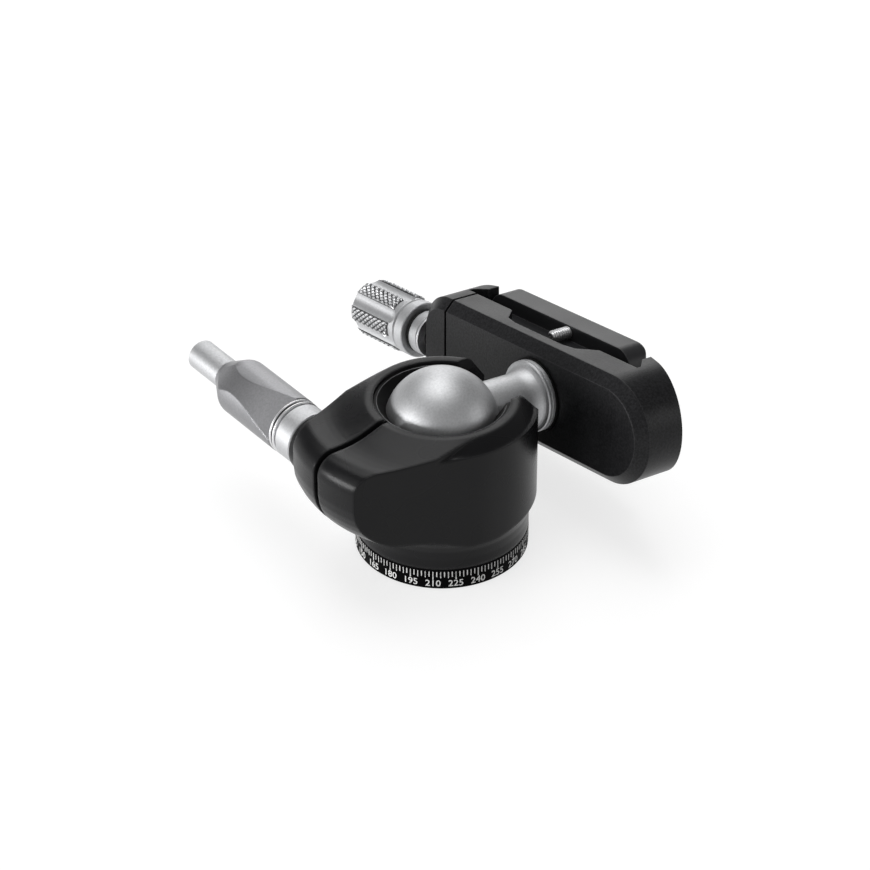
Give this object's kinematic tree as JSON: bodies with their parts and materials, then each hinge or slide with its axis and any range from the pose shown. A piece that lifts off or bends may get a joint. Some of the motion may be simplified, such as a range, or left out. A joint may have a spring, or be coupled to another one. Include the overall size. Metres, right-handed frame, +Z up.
{
  "type": "ball head",
  "caption": "Compact ball head with a drop notch and split clamping lug on a graduated pan base, a lever lock, and a side-tightened dovetail clamp holding a quick-release plate.",
  "frame": {"origin": "centre of the base's underside, on the pan axis, at the mouth of the tripod thread", "axes": "+Z up along the pan axis, +X toward the drop notch, +Y along the lock lever"},
  "size_m": [0.0571, 0.0697, 0.0292],
  "materials": {
    "black_anodised": "satin black anodised",
    "dial_black": "satin black anodised with a white scale",
    "clamp_black": "satin black anodised",
    "plate_black": "satin black anodised",
    "blasted_silver": "bead-blasted silver anodised",
    "grey_anodised": "grey anodised",
    "bright_ring": "turned bright",
    "steel": "bright steel",
    "liner_plastic": "black low-friction plastic",
    "bearing_plastic": "pale low-friction plastic",
    "pad_rubber": "matt black rubber"
  },
  "bodies": {
    "base": {"base_plate": "black_anodised", "dial_ring": "dial_black", "base_insert": "steel", "pan_bearing": "bearing_plastic", "pan_washer": "steel", "pan_screw": "steel"},
    "housing": {"housing": "black_anodised", "ball_liner": "liner_plastic", "lock_insert": "steel"},
    "handle": {"lock_screw": "steel", "lock_washer": "liner_plastic", "handle_hub": "blasted_silver", "handle_collar": "bright_ring", "handle_grip": "grey_anodised", "handle_rod": "blasted_silver", "handle_grub": "steel"},
    "ball": {"ball": "blasted_silver"},
    "clamp": {"stem_shim": "liner_plastic", "stem_screw": "steel", "clamp_body": "clamp_black"},
    "jaw": {"clamp_jaw": "clamp_black", "guide_pin_a": "steel", "guide_pin_b": "steel", "knob_washer": "liner_plastic"},
    "knob": {"clamp_spindle": "steel", "clamp_hub": "blasted_silver", "clamp_knob": "blasted_silver"},
    "plate": {"plate": "plate_black", "pad_a": "pad_rubber", "pad_b": "pad_rubber", "stop_screw_a": "bright_ring", "stop_screw_b": "bright_ring"},
    "camera_screw": {"camera_screw": "steel", "screw_clip": "steel"}
  },
  "joints": [
    {"name": "pan", "type": "hinge", "parent": "base", "child": "housing", "pos_m": [0, 0, 0], "axis": [0, 0, 1], "continuous": true},
    {"name": "tilt", "type": "hinge", "parent": "housing", "child": "ball", "pos_m": [0, 0, 0.0207], "axis": [0, -1, 0], "range_deg": [-1, 128]},
    {"name": "spin", "type": "hinge", "parent": "ball", "child": "clamp", "pos_m": [0, 0, 0.0207], "axis": [0.9945, 0, -0.1045], "continuous": true},
    {"name": "lock_turn", "type": "hinge", "parent": "housing", "child": "handle", "pos_m": [-0.016, 0, 0.0185], "axis": [0, 1, 0], "range_deg": [-15, 120]},
    {"name": "jaw_slide", "type": "slide", "parent": "clamp", "child": "jaw", "axis": [-0.0145, 0.9903, -0.1384], "range_m": [0, 0.0028]},
    {"name": "knob_turn", "type": "hinge", "parent": "jaw", "child": "knob", "pos_m": [0.01981, 0.02965, 0.01402], "axis": [-0.0145, 0.9903, -0.1384], "range_deg": [0, 1440]},
    {"name": "plate_slide", "type": "slide", "parent": "clamp", "child": "plate", "axis": [0.1035, 0.1392, 0.9848], "range_m": [-0.002, 0.006]},
    {"name": "screw_turn", "type": "hinge", "parent": "plate", "child": "camera_screw", "pos_m": [0.02355, 0.00361, 0.01518], "axis": [0.9945, 0, -0.1045], "continuous": true}
  ],
  "couplings": [
    {"joint": "knob_turn", "follows": "jaw_slide", "rad_per_m": 8975.9}
  ]
}
